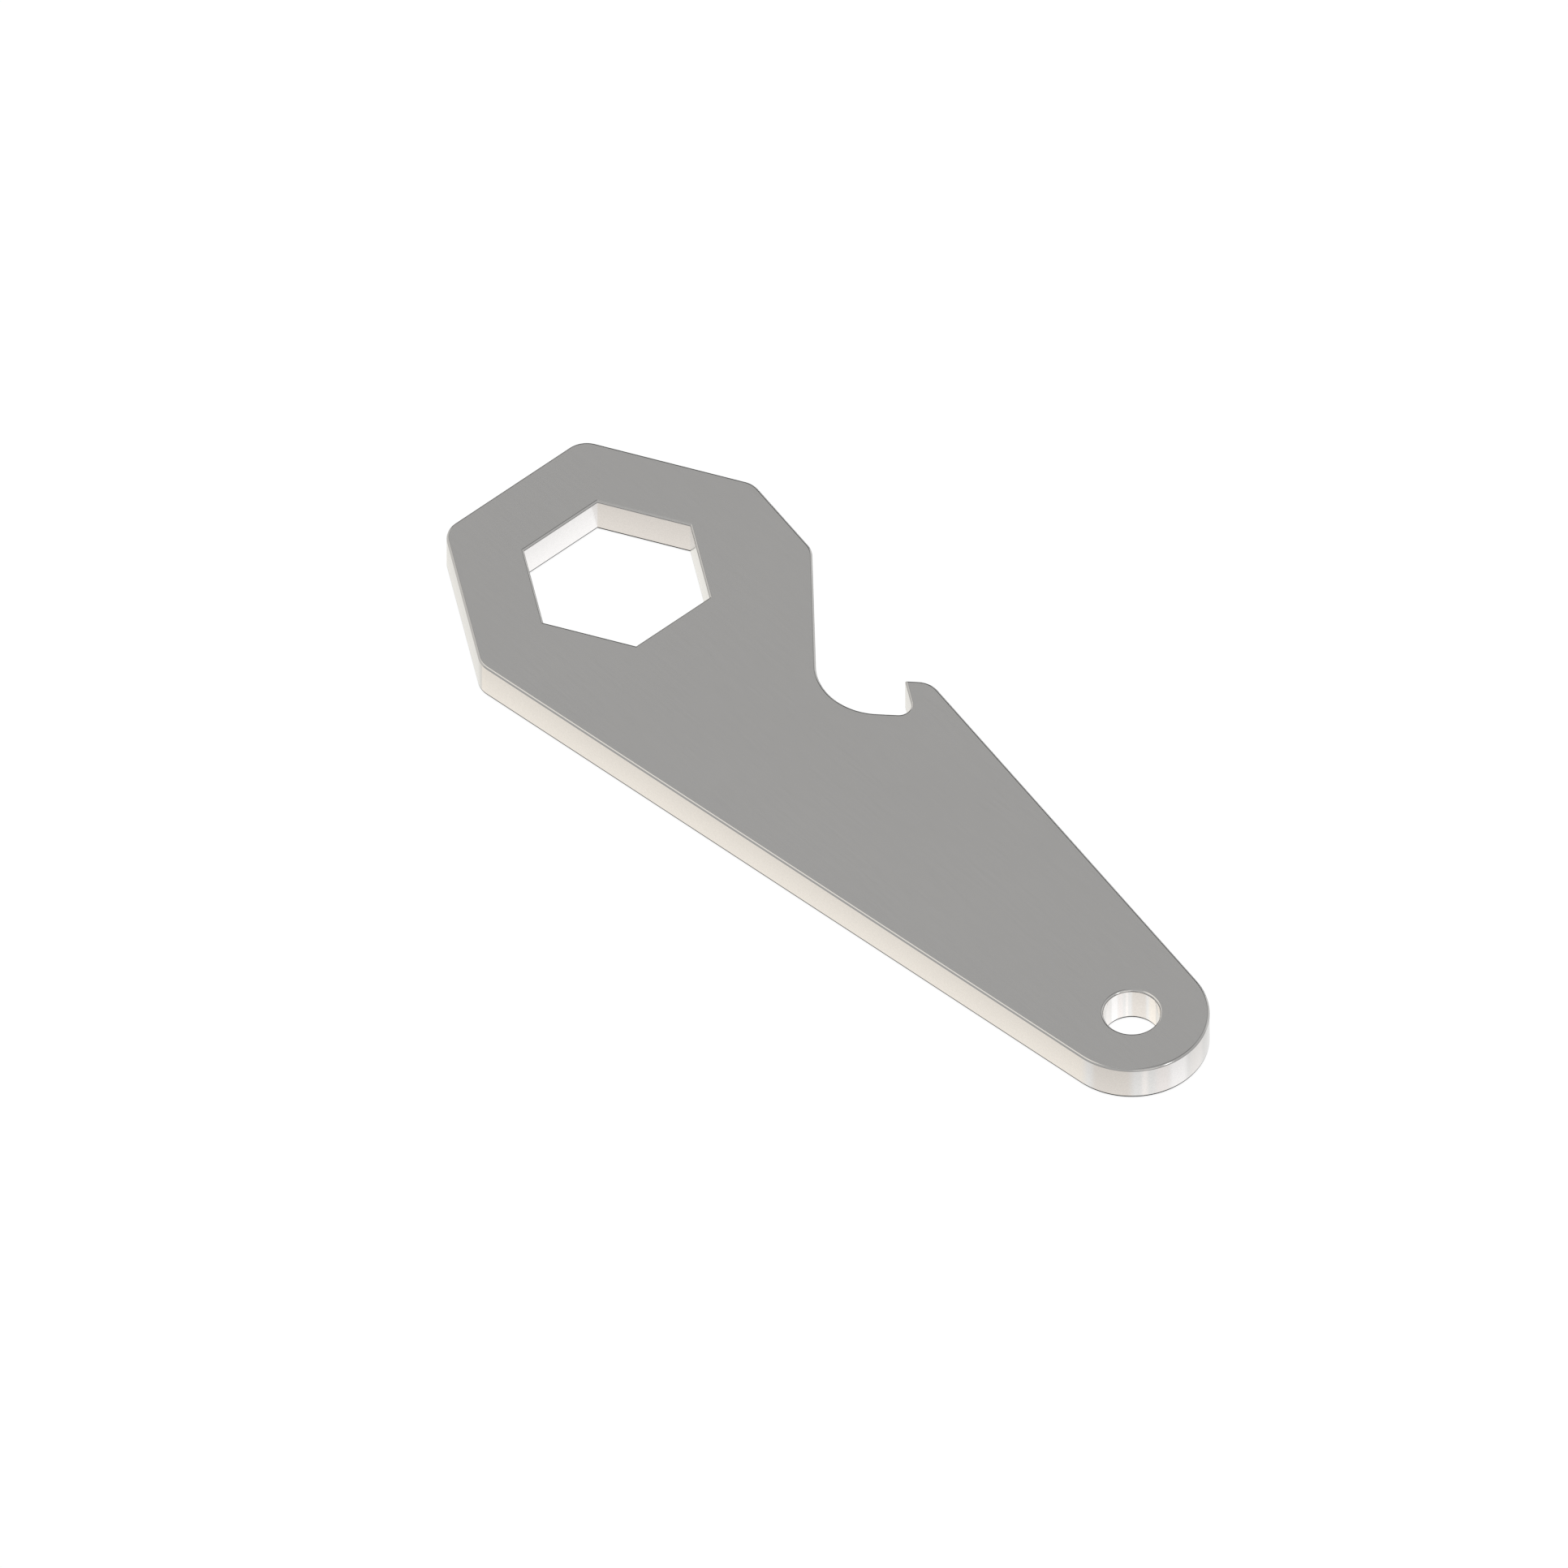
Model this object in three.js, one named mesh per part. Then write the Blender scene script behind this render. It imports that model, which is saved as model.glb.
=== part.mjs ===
// Keychain bottle opener with a nut wrench: one flat piece cut from stainless steel plate.
//
// The plate has a hexagonal head around a hexagonal socket, a body that tapers to a round tail
// with a key ring hole, and a cap-lifting notch with a hook in one long side.
//
// Frame: +X runs from the head to the tail, +Y is the notch side, +Z is up through the plate.
// The origin is the middle of the bottom face's bounding box. Millimetres and degrees.

import * as THREE from 'three';

// ---- Plate ----
const THICKNESS = 3.2;
const EDGE_BREAK = 0.2;          // bevel along every top and bottom edge

// ---- Head: a hexagon around a socket for an M8 nut, with two flats square to the X axis ----
const NUT_ACROSS_FLATS = 13;
const WRENCH_CLEARANCE = 0.05;
const HEAD_ACROSS_FLATS = 24.3;

// ---- Tail ----
const RING_HOLE_SPACING = 60;    // socket centre to key ring hole centre
const RING_HOLE_DIAMETER = 4.4;
const TAIL_RADIUS = 6;           // concentric with the key ring hole

// ---- Notch: distances are measured from the socket's centre, square to each edge ----
const SHOULDER_SLOPE = 40;       // falls away from the shoulder towards the notch
const SHOULDER_OFFSET = 15.1;
const FLOOR_SLOPE = 45;          // climbs from the bottom of the notch to the hook
const FLOOR_OFFSET = 13.05;
const HOOK_HEIGHT = 3.5;         // from the notch floor to the hook's top edge
const HOOK_UNDERCUT_OFFSET = 19.6;

// ---- Corner radii in plan ----
const CORNER_RADIUS = 2;
const NOTCH_RADIUS = 5;
const HOOK_ROOT_RADIUS = 1;
const HOOK_TIP_RADIUS = 0;        // sharp, to bite under the rim of a cap
const HOOK_NOSE_RADIUS = 2;

// ---- Facets ----
const ARC_STEP = 7.5;            // largest angle that one facet of an arc spans
const RING_HOLE_FACETS = 48;

const radians = THREE.MathUtils.degToRad;

// Hexagon corners, with two of the flats square to the X axis.
function hexagonCorners(acrossFlats) {
  const cornerRadius = acrossFlats / Math.sqrt(3);
  return Array.from({ length: 6 }, (_, index) => {
    const angle = radians(30 + 60 * index);
    return new THREE.Vector2(cornerRadius * Math.cos(angle), cornerRadius * Math.sin(angle));
  });
}

// Each long side runs from a corner of the head's hexagon and is tangent to the tail's arc.
// This is its angle to the X axis.
function taperAngle() {
  const headCorner = HEAD_ACROSS_FLATS / Math.sqrt(3);
  const reach = Math.hypot(headCorner, RING_HOLE_SPACING);
  const angle = Math.acos(TAIL_RADIUS / reach) - Math.atan2(RING_HOLE_SPACING, headCorner);
  return THREE.MathUtils.radToDeg(angle);
}

// The straight edges, clockwise from the end of the head. An edge is the direction of its outward
// normal, its distance from the socket's centre along that normal, and the radius of the corner
// that joins it to the next edge. The tail's round end is one such corner.
function straightEdges() {
  const taper = taperAngle();
  const headOffset = HEAD_ACROSS_FLATS / 2;
  const sideOffset = headOffset / Math.cos(radians(30)) * Math.cos(radians(taper));
  const floorNormal = 90 + FLOOR_SLOPE;
  return [
    { normal: 180, offset: headOffset, corner: CORNER_RADIUS },
    { normal: 120, offset: headOffset, corner: CORNER_RADIUS },
    { normal: 90 - taper, offset: sideOffset, corner: CORNER_RADIUS },
    { normal: 90 - SHOULDER_SLOPE, offset: SHOULDER_OFFSET, corner: NOTCH_RADIUS },
    { normal: floorNormal, offset: -FLOOR_OFFSET, corner: HOOK_ROOT_RADIUS },
    { normal: 240, offset: -HOOK_UNDERCUT_OFFSET, corner: HOOK_TIP_RADIUS },
    { normal: floorNormal, offset: HOOK_HEIGHT - FLOOR_OFFSET, corner: HOOK_NOSE_RADIUS },
    { normal: 90 - taper, offset: sideOffset, corner: TAIL_RADIUS },
    { normal: taper - 90, offset: sideOffset, corner: CORNER_RADIUS },
    { normal: 240, offset: headOffset, corner: CORNER_RADIUS },
  ];
}

// The point at the given distances from the socket's centre along two normals.
function meetingPoint(normalA, offsetA, normalB, offsetB) {
  const [a, b] = [radians(normalA), radians(normalB)];
  const scale = 1 / Math.sin(b - a);
  return new THREE.Vector2(
    (offsetA * Math.sin(b) - offsetB * Math.sin(a)) * scale,
    (offsetB * Math.cos(a) - offsetA * Math.cos(b)) * scale,
  );
}

// Points of the arc that rounds the corner between two edges, or the corner itself where it is
// left sharp. The normal turns clockwise round an outside corner, whose centre is in the plate,
// and anticlockwise round an inside one.
function cornerArc(edge, nextEdge) {
  const turn = THREE.MathUtils.euclideanModulo(nextEdge.normal - edge.normal + 180, 360) - 180;
  const side = Math.sign(turn);
  const shift = side * edge.corner;
  const centre = meetingPoint(
    edge.normal, edge.offset + shift, nextEdge.normal, nextEdge.offset + shift,
  );
  if (edge.corner === 0) {
    return [centre];
  }
  const facets = Math.ceil(Math.abs(turn) / ARC_STEP);
  return Array.from({ length: facets + 1 }, (_, index) => {
    const angle = radians(edge.normal + turn * index / facets);
    return new THREE.Vector2(
      centre.x - shift * Math.cos(angle),
      centre.y - shift * Math.sin(angle),
    );
  });
}

function plateOutline() {
  const edges = straightEdges();
  const points = edges.flatMap((edge, index) => cornerArc(edge, edges[(index + 1) % edges.length]));
  return new THREE.Shape(points);
}

function ringHole() {
  const path = new THREE.Path();
  path.absarc(RING_HOLE_SPACING, 0, RING_HOLE_DIAMETER / 2, 0, 2 * Math.PI, false);
  return path;
}

// The outline is extruded between two bevels, each of which draws it in by EDGE_BREAK.
// A full circle gets two facets for each curve segment.
function plateGeometry() {
  const outline = plateOutline();
  outline.holes.push(new THREE.Path(hexagonCorners(NUT_ACROSS_FLATS + WRENCH_CLEARANCE)));
  outline.holes.push(ringHole());
  return new THREE.ExtrudeGeometry(outline, {
    depth: THICKNESS - 2 * EDGE_BREAK,
    curveSegments: RING_HOLE_FACETS / 2,
    bevelEnabled: true,
    bevelSegments: 1,
    bevelSize: EDGE_BREAK,
    bevelThickness: EDGE_BREAK,
    bevelOffset: -EDGE_BREAK,
  });
}

const steel = new THREE.MeshStandardMaterial({ color: 0x9e9d9b, roughness: 0.3, metalness: 1 });

const plate = new THREE.Mesh(plateGeometry(), steel);
plate.name = 'opener_plate';
const headEnd = -HEAD_ACROSS_FLATS / 2;
const tailEnd = RING_HOLE_SPACING + TAIL_RADIUS;
plate.position.set(-(headEnd + tailEnd) / 2, 0, EDGE_BREAK);

const opener = new THREE.Group();
opener.add(plate);

export default opener;
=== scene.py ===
# Looks of the keychain bottle opener: a satin steel plate on a white table, seen from above its tail.

import math

import bpy
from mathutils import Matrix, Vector
from mathutils.geometry import tessellate_polygon


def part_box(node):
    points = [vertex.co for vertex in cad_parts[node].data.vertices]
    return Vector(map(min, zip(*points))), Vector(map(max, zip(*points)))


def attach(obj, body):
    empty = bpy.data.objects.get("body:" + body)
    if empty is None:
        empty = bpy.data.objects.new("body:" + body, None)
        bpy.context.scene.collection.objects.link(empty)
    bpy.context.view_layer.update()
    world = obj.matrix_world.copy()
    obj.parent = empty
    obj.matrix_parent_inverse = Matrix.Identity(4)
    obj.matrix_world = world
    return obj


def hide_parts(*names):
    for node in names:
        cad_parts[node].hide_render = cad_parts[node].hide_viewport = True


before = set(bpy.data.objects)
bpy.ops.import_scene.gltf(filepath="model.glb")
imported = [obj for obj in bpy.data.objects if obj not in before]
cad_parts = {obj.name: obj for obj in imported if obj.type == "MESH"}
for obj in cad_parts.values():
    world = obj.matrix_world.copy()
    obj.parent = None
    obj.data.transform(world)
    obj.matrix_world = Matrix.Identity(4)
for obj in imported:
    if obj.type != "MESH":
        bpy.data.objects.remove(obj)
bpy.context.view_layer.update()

MM = 0.001

# ---- Camera: parallel projection, in metres and degrees ----
CAMERA_AZIMUTH = 48.625          # from the -Y side towards +X
CAMERA_ELEVATION = 48.597
CAMERA_DISTANCE = 0.5
VIEW_WIDTH = 0.12075
AIM_POINT = Vector((-0.004308, -0.002762, 0.0))

# ---- Table and background ----
WHITE = 1.02                     # brightness of both, just past plain white
TABLE_HALF_WIDTH = 3.0
TABLE_GAP = 0.00002              # keeps the table's top clear of the plate's underside
CONTACT_REACH = 0.00015          # how far the shadow where the plate rests reaches
CONTACT_SHADE = 0.86             # its darkest value

# ---- Plate, with the CAD node's driving dimensions; angles in degrees ----
NUT_ACROSS_FLATS = 13.05 * MM
HEAD_ACROSS_FLATS = 24.3 * MM
RING_HOLE_SPACING = 60 * MM
RING_HOLE_RADIUS = 2.2 * MM
TAIL_RADIUS = 6 * MM
SHOULDER_SLOPE = 40              # fall of the notch's wall beside the head
SHOULDER_OFFSET = 15.1 * MM      # of that wall's line from the socket centre
FLOOR_SLOPE = 45                 # rise of the notch's floor towards the hook
FLOOR_OFFSET = 13.05 * MM
HOOK_HEIGHT = 3.5 * MM           # above the notch's floor
HOOK_UNDERCUT_OFFSET = 19.6 * MM
CORNER_RADIUS = 2 * MM
NOTCH_RADIUS = 5 * MM
HOOK_ROOT_RADIUS = 1 * MM
HOOK_TIP_RADIUS = 0.05 * MM
HOOK_NOSE_RADIUS = 2 * MM
EDGE_RADIUS = 0.2 * MM           # true round where the CAD node has a bevel

ARC_STEP = 2.0                   # degrees of arc per facet in plan
EDGE_STEPS = 8                   # facets round each quarter-circle edge
SHARPEST = 0.02 * MM             # least corner radius on the flat faces


# ---------------------------------------------------------------- camera and table

def direction(azimuth, elevation):
    """Unit vector towards a point seen at this compass angle (from +X towards +Y) and height."""
    a, e = math.radians(azimuth), math.radians(elevation)
    return Vector((math.cos(a) * math.cos(e), math.sin(a) * math.cos(e), math.sin(e)))


def add_camera():
    towards_camera = direction(CAMERA_AZIMUTH - 90, CAMERA_ELEVATION)
    data = bpy.data.cameras.new("camera")
    data.type = "ORTHO"
    data.ortho_scale = VIEW_WIDTH
    camera = bpy.data.objects.new("camera", data)
    camera.location = AIM_POINT + towards_camera * CAMERA_DISTANCE
    camera.rotation_euler = towards_camera.to_track_quat("Z", "Y").to_euler()
    bpy.context.scene.collection.objects.link(camera)
    bpy.context.scene.camera = camera


def add_floor():
    """White table that glows evenly, apart from a narrow contact shadow, and isn't mirrored."""
    mesh = bpy.data.meshes.new("floor")
    half = TABLE_HALF_WIDTH
    corners = [(-half, -half, 0), (half, -half, 0), (half, half, 0), (-half, half, 0)]
    mesh.from_pydata(corners, [], [(0, 1, 2, 3)])
    floor = bpy.data.objects.new("floor", mesh)
    floor.location.z = -TABLE_GAP
    bpy.context.scene.collection.objects.link(floor)
    material = bpy.data.materials.new("white_table")
    material.use_nodes = True
    nodes, links = material.node_tree.nodes, material.node_tree.links
    nodes.clear()
    output = nodes.new("ShaderNodeOutputMaterial")
    glow = nodes.new("ShaderNodeEmission")
    glow.inputs["Color"].default_value = (1, 1, 1, 1)
    contact = nodes.new("ShaderNodeAmbientOcclusion")
    contact.inputs["Distance"].default_value = CONTACT_REACH
    shade = nodes.new("ShaderNodeMapRange")
    shade.inputs["To Min"].default_value = CONTACT_SHADE
    shade.inputs["To Max"].default_value = WHITE
    links.new(contact.outputs["AO"], shade.inputs["Value"])
    links.new(shade.outputs["Result"], glow.inputs["Strength"])
    links.new(glow.outputs[0], output.inputs["Surface"])
    mesh.materials.append(material)
    floor.visible_glossy = False


# ---------------------------------------------------------------- node helpers

def feed(links, value, socket):
    """Link a node's output to a socket, or set the socket to a plain value."""
    if hasattr(value, "links"):
        links.new(value, socket)
    else:
        socket.default_value = value


def mix_node(nodes, links, blend_type, share, a, b):
    node = nodes.new("ShaderNodeMix")
    node.data_type = "RGBA"
    node.blend_type = blend_type
    for value, name in ((share, "Factor"), (a, "A"), (b, "B")):
        feed(links, value, node.inputs[name])
    return node.outputs["Result"]


def map_node(nodes, links, value, source, target):
    """Value stretched from one range to another, and held at its ends."""
    node = nodes.new("ShaderNodeMapRange")
    links.new(value, node.inputs["Value"])
    node.inputs["From Min"].default_value, node.inputs["From Max"].default_value = source
    node.inputs["To Min"].default_value, node.inputs["To Max"].default_value = target
    return node


def fill_ramp(ramp, stops):
    """Set a colour ramp's stops from pairs of place, 0 to 1, and grey level."""
    elements = ramp.color_ramp.elements
    while len(elements) < len(stops):
        elements.new(0.5)
    for element, (place, level) in zip(elements, stops):
        element.position = place
        element.color = (level, level, level, 1)


def ramp_node(nodes, links, value, low, high, stops):
    """Colour ramp over low..high whose stops are (place, grey level)."""
    spread = map_node(nodes, links, value, (low, high), (0, 1))
    ramp = nodes.new("ShaderNodeValToRGB")
    fill_ramp(ramp, [((place - low) / (high - low), level) for place, level in stops])
    links.new(spread.outputs["Result"], ramp.inputs[0])
    return ramp.outputs["Color"]


# ---------------------------------------------------------------- studio

# Grey levels of the bare studio by height: (elevation in degrees, brightness)
BACKDROP = [(-90, 0.04), (-70, 0.05), (-60, 0.97), (-38, 0.97), (-28, 0.62), (0, 0.78), (42, 0.78),
            (72, 0.70), (90, 0.66)]

# Cards that hang in front of the backdrop, each covering what is behind it:
# (azimuth, elevation), (half-width, half-height), softness of the border, all in degrees, colour
CARDS = [
    ((130, -12), (33, 34), 8, (0.03, 0.03, 0.03)),       # dark wall behind the head
    ((139.5, 34), (24, 12), 6, (0.06, 0.06, 0.06)),      # its upper half
    ((136, 25), (10, 5), 2, (0.52, 0.52, 0.52)),         # grey shelf across it
    ((156.5, 32), (11.5, 11), 6, (0.90, 0.89, 0.87)),    # pale panel beside the shelf
    ((89, 0), (18, 27), 8, (1.10, 1.09, 1.08)),          # paper screen on the right
    ((113, 3), (11, 10), 5, (1.50, 1.50, 1.50)),         # lit strip at its inner border
    ((201, 10), (33, 38), 8, (1.05, 1.03, 1.00)),        # paper screen on the left
    ((-22, 24), (17, 21), 10, (1.20, 1.18, 1.16)),       # paper screen beside the camera
    ((130, 50), (36, 6), 4, (0.480, 0.479, 0.477)),      # ceiling edge, mirrored in the flat top
    ((106, 66), (28, 10), 8, (0.28, 0.28, 0.28)),        # dark ceiling above it
    ((-140, 58), (38, 14), 8, (1.62, 1.56, 1.46)),       # softbox over the near long side
    ((8, 31), (5, 9), 3, (4.5, 4.5, 4.5)),               # small lamp beyond the tail
    # light from the table, mirrored in the walls
    ((-138, -46), (22, 18), 20, (1.06, 1.00, 0.92)),
    ((-163, -46), (5, 18), 6, (0.78, 0.76, 0.72)),
    ((-72, -46), (30, 18), 12, (0.895, 0.85, 0.805)),
    ((-22, -46), (4, 18), 6, (1.15, 1.11, 1.09)),
    ((6, -46), (11, 18), 10, (1.05, 1.01, 1.00)),
    ((33, -46), (15, 18), 8, (1.15, 1.14, 1.15)),
    ((72, -46), (16, 18), 8, (1.01, 0.99, 0.98)),
    ((112, -54), (24, 11), 8, (0.89, 0.885, 0.88)),
    ((165, -46), (30, 18), 12, (0.92, 0.905, 0.865)),
]


def add_world():
    """Studio of a backdrop and cards for the reflections, and plain white behind the picture."""
    world = bpy.data.worlds.new("studio")
    bpy.context.scene.world = world
    world.use_nodes = True
    nodes, links = world.node_tree.nodes, world.node_tree.links
    nodes.clear()

    def math_node(operation, *values):
        node = nodes.new("ShaderNodeMath")
        node.operation = operation
        for socket, value in zip(node.inputs, values):
            feed(links, value, socket)
        return node.outputs[0]

    def border(distance, half_size, softness):
        """1 inside a card, 0 outside, smooth across its border."""
        outside, inside = half_size + softness / 2, half_size - softness / 2
        node = map_node(nodes, links, distance, (outside, inside), (0, 1))
        node.interpolation_type = "SMOOTHSTEP"
        return node.outputs[0]

    coordinates = nodes.new("ShaderNodeTexCoord")
    parts = nodes.new("ShaderNodeSeparateXYZ")
    links.new(coordinates.outputs["Generated"], parts.inputs[0])
    degrees = math.degrees(1)
    elevation = math_node("MULTIPLY", math_node("ARCSINE", parts.outputs["Z"]), degrees)
    azimuth = math_node(
        "MULTIPLY", math_node("ARCTAN2", parts.outputs["Y"], parts.outputs["X"]), degrees)
    backdrop = nodes.new("ShaderNodeValToRGB")
    backdrop.color_ramp.interpolation = "EASE"
    fill_ramp(backdrop, [((height + 90) / 180, level) for height, level in BACKDROP])
    links.new(math_node("MULTIPLY_ADD", elevation, 1 / 180, 0.5), backdrop.inputs[0])
    light = backdrop.outputs["Color"]
    for (card_azimuth, card_elevation), (half_width, half_height), softness, colour in CARDS:
        turned = math_node("WRAP", math_node("SUBTRACT", azimuth, card_azimuth), 180, -180)
        across = border(math_node("ABSOLUTE", turned), half_width, softness)
        raised = math_node("ABSOLUTE", math_node("SUBTRACT", elevation, card_elevation))
        mask = math_node("MULTIPLY", across, border(raised, half_height, softness))
        light = mix_node(nodes, links, "MIX", mask, light, (*colour, 1))
    studio = nodes.new("ShaderNodeBackground")
    links.new(light, studio.inputs["Color"])
    white = nodes.new("ShaderNodeBackground")
    white.inputs["Color"].default_value = (1, 1, 1, 1)
    white.inputs["Strength"].default_value = WHITE
    path = nodes.new("ShaderNodeLightPath")
    mix = nodes.new("ShaderNodeMixShader")
    links.new(path.outputs["Is Camera Ray"], mix.inputs["Fac"])
    links.new(studio.outputs[0], mix.inputs[1])
    links.new(white.outputs[0], mix.inputs[2])
    output = nodes.new("ShaderNodeOutputWorld")
    links.new(mix.outputs[0], output.inputs["Surface"])
    bpy.context.scene.view_settings.view_transform = "Standard"


# ---------------------------------------------------------------- plate outline

def unit(angle):
    return Vector((math.cos(math.radians(angle)), math.sin(math.radians(angle))))


def straight_edges():
    """Straight edges of the outline, clockwise from the head's end: outward normal, distance from
    the socket centre, radius of the corner that follows."""
    corner = HEAD_ACROSS_FLATS / math.sqrt(3)
    reach = math.hypot(corner, RING_HOLE_SPACING)
    taper = math.degrees(math.acos(TAIL_RADIUS / reach) - math.atan2(RING_HOLE_SPACING, corner))
    side = corner * math.cos(math.radians(taper))
    head = HEAD_ACROSS_FLATS / 2
    floor = 90 + FLOOR_SLOPE
    return [
        (180, head, CORNER_RADIUS),
        (120, head, CORNER_RADIUS),
        (90 - taper, side, CORNER_RADIUS),
        (90 - SHOULDER_SLOPE, SHOULDER_OFFSET, NOTCH_RADIUS),
        (floor, -FLOOR_OFFSET, HOOK_ROOT_RADIUS),
        (240, -HOOK_UNDERCUT_OFFSET, HOOK_TIP_RADIUS),
        (floor, HOOK_HEIGHT - FLOOR_OFFSET, HOOK_NOSE_RADIUS),
        (90 - taper, side, TAIL_RADIUS),
        (taper - 90, side, CORNER_RADIUS),
        (240, head, CORNER_RADIUS),
    ]


def meeting_point(normal_a, offset_a, normal_b, offset_b):
    """Where two lines cross, each given by its normal and its distance from the origin."""
    a, b = math.radians(normal_a), math.radians(normal_b)
    scale = 1 / math.sin(b - a)
    return Vector((
        (offset_a * math.sin(b) - offset_b * math.sin(a)) * scale,
        (offset_b * math.cos(a) - offset_a * math.cos(b)) * scale,
    ))


def corner_arc(edge, next_edge, inset):
    """Points of the corner between two edges after the whole outline is drawn in by the inset,
    each with the direction square to the unchanged arc."""
    (normal, offset, radius), (next_normal, next_offset, _) = edge, next_edge
    turn = (next_normal - normal + 180) % 360 - 180
    shift = math.copysign(max(radius + math.copysign(inset, turn), SHARPEST), turn)
    centre = meeting_point(normal, offset - inset + shift, next_normal, next_offset - inset + shift)
    steps = math.ceil(abs(turn) / ARC_STEP * min(1, radius / CORNER_RADIUS))
    outwards = [unit(normal + turn * step / steps) for step in range(steps + 1)]
    return [(centre - shift * outward, outward) for outward in outwards]


# Each of these gives the points round one loop: place, how it moves for each metre that the plate's
# material grows, and the wall's normals towards the previous and the next point.

def outline_stations():
    edges = straight_edges()
    stations = []
    for edge, next_edge in zip(edges, edges[1:] + edges[:1]):
        rim = corner_arc(edge, next_edge, 0)
        flat = corner_arc(edge, next_edge, EDGE_RADIUS)
        for (place, outward), (drawn_in, _) in zip(rim, flat):
            stations.append((place, (place - drawn_in) / EDGE_RADIUS, outward, outward))
    return stations


def socket_stations():
    stations = []
    for index in range(6):
        angle = 30 + 60 * index
        place = unit(angle) * NUT_ACROSS_FLATS / math.sqrt(3)
        growth = -unit(angle) / math.cos(math.radians(30))
        stations.append((place, growth, -unit(angle - 30), -unit(angle + 30)))
    return stations


def ring_hole_stations():
    stations = []
    steps = round(360 / ARC_STEP)
    for step in range(steps):
        outward = -unit(360 * step / steps)
        place = Vector((RING_HOLE_SPACING, 0)) - outward * RING_HOLE_RADIUS
        stations.append((place, outward, outward, outward))
    return stations


# ---------------------------------------------------------------- plate mesh

def edge_profile(bottom, top):
    """Rings from bottom to top: how far in from the wall, height, slope of the normal."""
    rings = []
    for first_slope, centre in ((-90, bottom + EDGE_RADIUS), (0, top - EDGE_RADIUS)):
        for step in range(EDGE_STEPS + 1):
            slope = first_slope + 90 * step / EDGE_STEPS
            inset = EDGE_RADIUS * (1 - math.cos(math.radians(slope)))
            rings.append((inset, centre + EDGE_RADIUS * math.sin(math.radians(slope)), slope))
    return rings


def tilted(outward, slope):
    flat = math.cos(math.radians(slope))
    return (outward.x * flat, outward.y * flat, math.sin(math.radians(slope)))


def flat_face(points, rim, up):
    """Triangles that fill the area between loops of point numbers, facing up or down."""
    order = [index for loop in rim for index in loop]
    faces = []
    for triangle in tessellate_polygon([[Vector(points[i]) for i in loop] for loop in rim]):
        a, b, c = (order[i] for i in triangle)
        corner_a, corner_b, corner_c = (Vector(points[i]) for i in (a, b, c))
        faces_up = (corner_b - corner_a).cross(corner_c - corner_a).z > 0
        faces.append((a, b, c) if faces_up == up else (a, c, b))
    return faces


def build_plate():
    low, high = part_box("opener_plate")
    socket_centre = Vector((low.x + HEAD_ACROSS_FLATS / 2, 0))
    # each loop with how much brighter its wall is painted: painted light on the socket and ring hole
    # walls
    loops = [
        (outline_stations(), 1),
        (socket_stations(), SOCKET_PAINTED_LIGHT),
        (ring_hole_stations(), RING_HOLE_PAINTED_LIGHT),
    ]
    rings = edge_profile(low.z, high.z)
    points, faces, normals, slopes, inner_wall_painted_lights = [], [], [], [], []
    bottom_rim, top_rim = [], []
    for stations, inner_wall_painted_light in loops:
        start, count = len(points), len(stations)
        for inset, height, slope in rings:
            for place, growth, _, _ in stations:
                flat = socket_centre + place - growth * inset
                points.append((flat.x, flat.y, height))
                slopes.append(slope / 90)
                # painted light of the inner walls, fading out across the rounds
                inner_wall_painted_lights.append(1 + (inner_wall_painted_light - 1) * math.cos(math.radians(slope)))
        for row, ((_, _, lower_slope), (_, _, upper_slope)) in enumerate(zip(rings, rings[1:])):
            near = start + row * count
            for column in range(count):
                following = (column + 1) % count
                faces.append((near + column, near + count + column,
                              near + count + following, near + following))
                leaving, arriving = stations[column][3], stations[following][2]
                normals += [tilted(leaving, lower_slope), tilted(leaving, upper_slope),
                            tilted(arriving, upper_slope), tilted(arriving, lower_slope)]
        bottom_rim.append(range(start, start + count))
        top_rim.append(range(len(points) - count, len(points)))
    for rim, up in ((bottom_rim, False), (top_rim, True)):
        triangles = flat_face(points, rim, up)
        faces += triangles
        normals += [(0, 0, 1 if up else -1)] * 3 * len(triangles)
    mesh = bpy.data.meshes.new("plate_body")
    mesh.from_pydata(points, [], faces)
    mesh.attributes.new("slope", "FLOAT", "POINT").data.foreach_set("value", slopes)
    # carries the painted light of the inner walls
    mesh.attributes.new("inner_wall_painted_light", "FLOAT", "POINT").data.foreach_set("value", inner_wall_painted_lights)
    mesh.shade_smooth()
    mesh.normals_split_custom_set(normals)
    plate = bpy.data.objects.new("plate_body", mesh)
    bpy.context.scene.collection.objects.link(plate)
    mesh.materials.append(steel(high.z))
    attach(plate, "root")
    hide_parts("opener_plate")


# ---------------------------------------------------------------- steel

STEEL_COLOUR = (0.72, 0.712, 0.698)

# Painted shade across the rounded edges: brightness of the metal by the slope of the surface in right
# angles from -1, the underside, to 1, the top: painted contact shadow on the foot round, wall,
# painted shade on the top round, flat face
EDGE_PAINTED_SHADE = [(-1.0, 1.0), (-0.8, 0.05), (-0.10, 0.05), (-0.02, 1.0), (0.02, 1.0), (0.06, 0.64),
              (0.24, 0.60), (0.34, 0.66), (0.90, 0.66), (1.0, 1.0)]

# Painted light and shade by height above the table, as a share of the thickness: walls painted
# lighter towards the foot as painted bounce light from the table, down to a painted contact shadow at
# the rim
WALL_PAINTED_LIGHT_AND_SHADE = [(0.0, 0.10), (0.07, 0.10), (0.08, 1.095), (0.30, 1.065), (0.92, 0.965), (1.0, 1.0)]

# Painted light: brightness of the inner walls against the outer one
SOCKET_PAINTED_LIGHT = 1.075
RING_HOLE_PAINTED_LIGHT = 1.18

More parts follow.
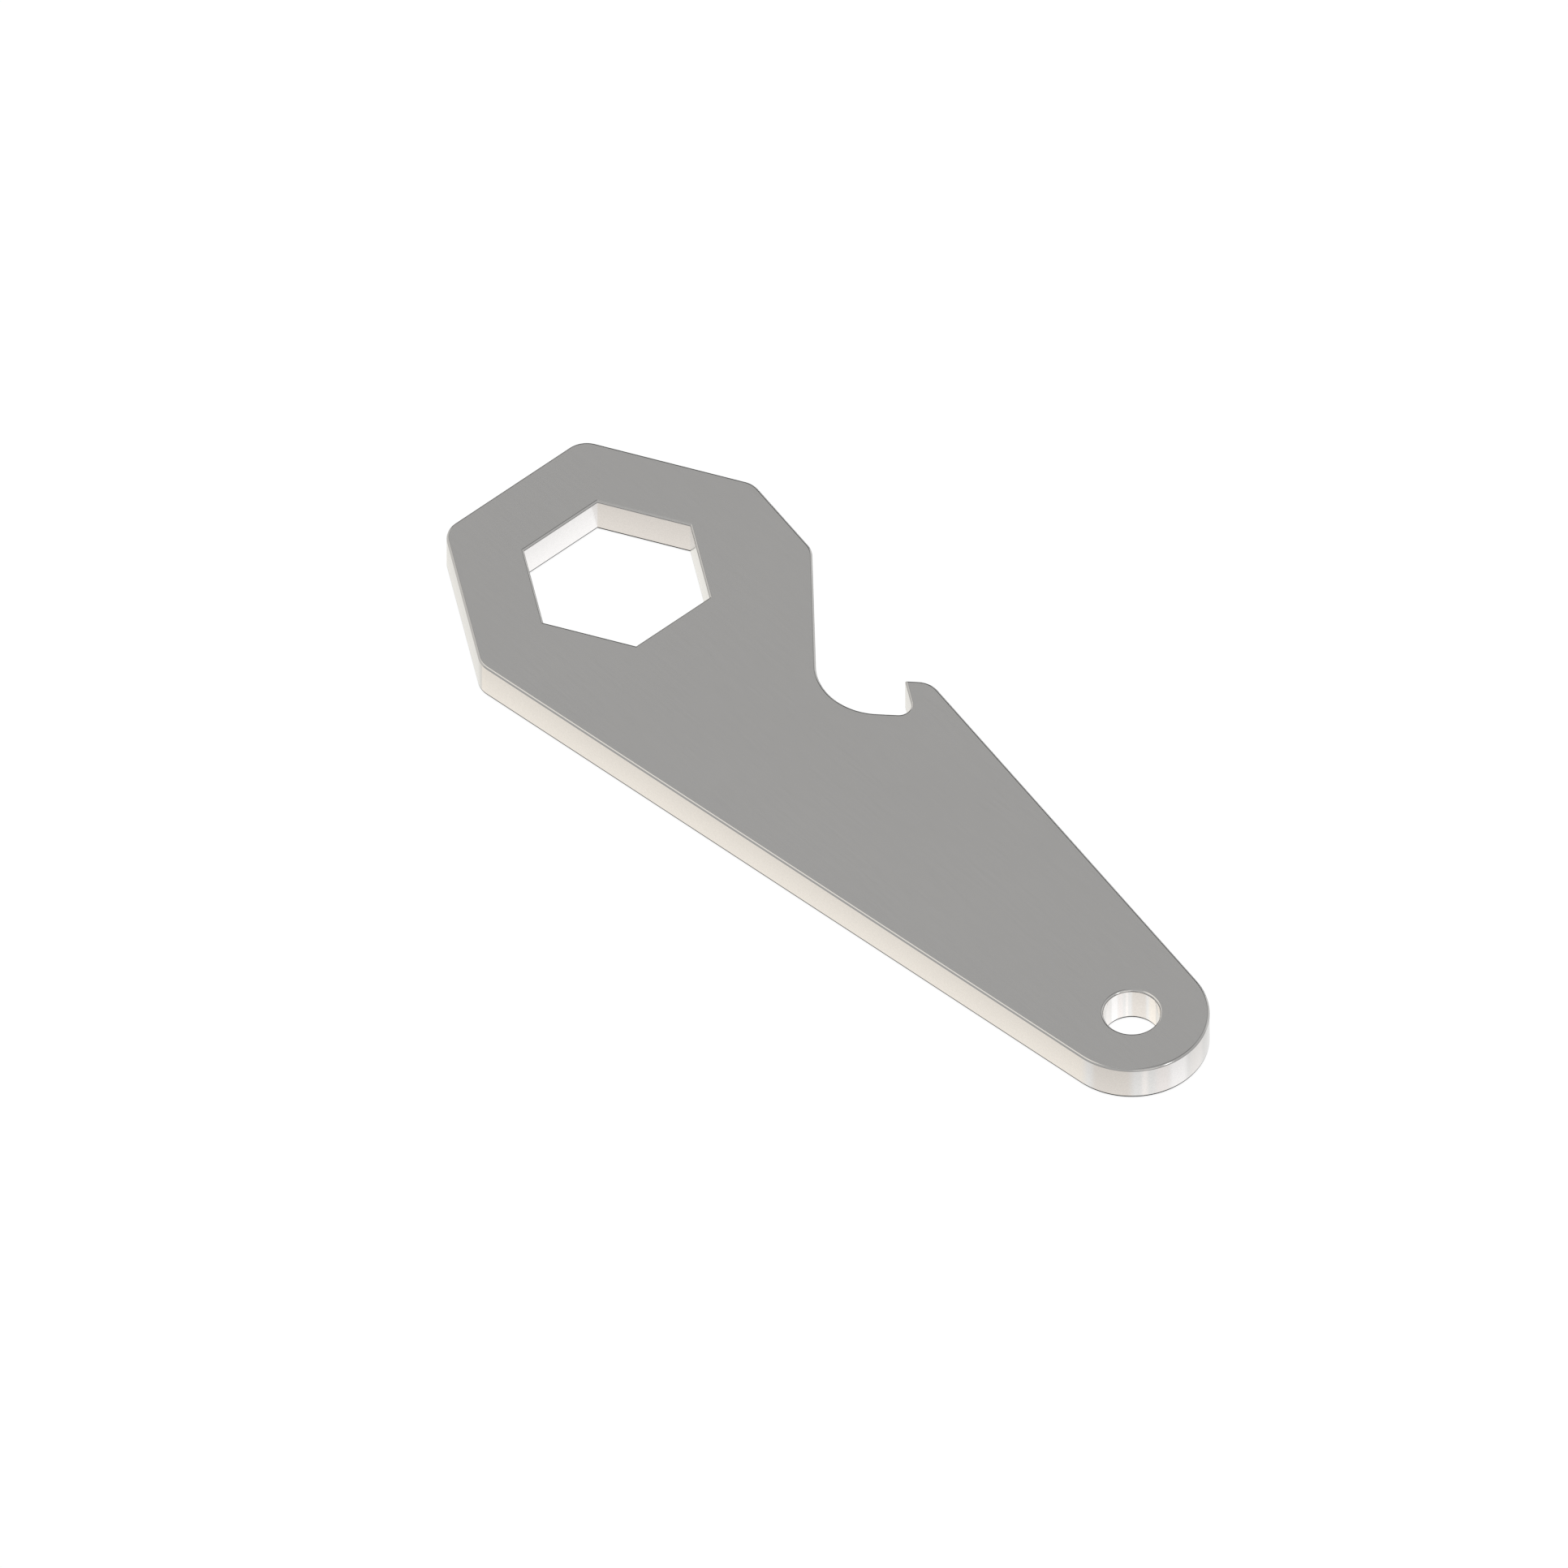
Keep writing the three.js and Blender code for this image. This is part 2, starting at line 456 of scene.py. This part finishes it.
# Noises: scale, detail, and what they vary over the part of their range that they mostly fill
NOISE_RANGE = (0.3, 0.7)
CLOUD_SCALE, CLOUD_DETAIL = 90, 2
CLOUD_TONES = (0.994, 1.006)
GRAIN_SCALE, GRAIN_DETAIL = 6500, 3
GRAIN_TONES = (0.972, 1.028)
GRAIN_ON_FLATS = 0.15            # share of the walls' grain that the flat faces show
BRUSHING_SCALE, BRUSHING_DETAIL = 6000, 3
BRUSHING_STRETCH = (0.06, 1, 1)  # drawn out along the plate
ROUGHNESS = (0.11, 0.16)
BRUSHING_STRENGTH = 0.02
BRUSHING_DEPTH = 0.01 * MM


def noise_node(nodes, links, place, scale, detail, stretch=(1, 1, 1)):
    """Noise from 0 to 1 in object space, drawn out along an axis where the stretch is below 1."""
    mapping = nodes.new("ShaderNodeMapping")
    mapping.inputs["Scale"].default_value = stretch
    links.new(place, mapping.inputs["Vector"])
    noise = nodes.new("ShaderNodeTexNoise")
    noise.inputs["Scale"].default_value = scale
    noise.inputs["Detail"].default_value = detail
    links.new(mapping.outputs["Vector"], noise.inputs["Vector"])
    return noise.outputs["Fac"]


def steel(thickness):
    material = bpy.data.materials.new("satin_steel")
    material.use_nodes = True
    nodes, links = material.node_tree.nodes, material.node_tree.links
    shader = nodes["Principled BSDF"]
    shader.inputs["Metallic"].default_value = 1.0
    slope = nodes.new("ShaderNodeAttribute")
    slope.attribute_name = "slope"
    # painted light of the inner walls, read from the mesh
    inner_wall_painted_light = nodes.new("ShaderNodeAttribute")
    inner_wall_painted_light.attribute_name = "inner_wall_painted_light"
    coordinates = nodes.new("ShaderNodeTexCoord")
    place = coordinates.outputs["Object"]
    axes = nodes.new("ShaderNodeSeparateXYZ")
    links.new(place, axes.inputs[0])

    def mottle(scale, detail, tones):
        noise = noise_node(nodes, links, place, scale, detail)
        return ramp_node(nodes, links, noise, *NOISE_RANGE, list(zip(NOISE_RANGE, tones)))

    # Painted shade across the rounds, then painted light and shade by height up the walls
    edge = ramp_node(nodes, links, slope.outputs["Fac"], -1, 1, EDGE_PAINTED_SHADE)
    height_painted_light_and_shade = ramp_node(nodes, links, axes.outputs["Z"], 0, thickness,
                     [(share * thickness, tone) for share, tone in WALL_PAINTED_LIGHT_AND_SHADE])
    cloud = mottle(CLOUD_SCALE, CLOUD_DETAIL, CLOUD_TONES)
    grain = mottle(GRAIN_SCALE, GRAIN_DETAIL, GRAIN_TONES)
    colour = (*STEEL_COLOUR, 1)
    # painted shade and light, random mottle and the inner walls' painted light all multiply the
    # steel's colour
    for tone in (edge, height_painted_light_and_shade, cloud, inner_wall_painted_light.outputs["Color"]):
        colour = mix_node(nodes, links, "MULTIPLY", 1, colour, tone)
    steepness = nodes.new("ShaderNodeMath")
    steepness.operation = "ABSOLUTE"
    links.new(slope.outputs["Fac"], steepness.inputs[0])
    grain_share = map_node(nodes, links, steepness.outputs[0], (0, 1), (1, GRAIN_ON_FLATS))
    colour = mix_node(nodes, links, "MULTIPLY", grain_share.outputs["Result"], colour, grain)
    links.new(colour, shader.inputs["Base Color"])

    brushing = noise_node(nodes, links, place, BRUSHING_SCALE, BRUSHING_DETAIL, BRUSHING_STRETCH)
    satin = map_node(nodes, links, brushing, NOISE_RANGE, ROUGHNESS)
    links.new(satin.outputs["Result"], shader.inputs["Roughness"])
    bump = nodes.new("ShaderNodeBump")
    bump.inputs["Strength"].default_value = BRUSHING_STRENGTH
    bump.inputs["Distance"].default_value = BRUSHING_DEPTH
    links.new(brushing, bump.inputs["Height"])
    links.new(bump.outputs["Normal"], shader.inputs["Normal"])
    return material


add_camera()
add_floor()
add_world()
build_plate()
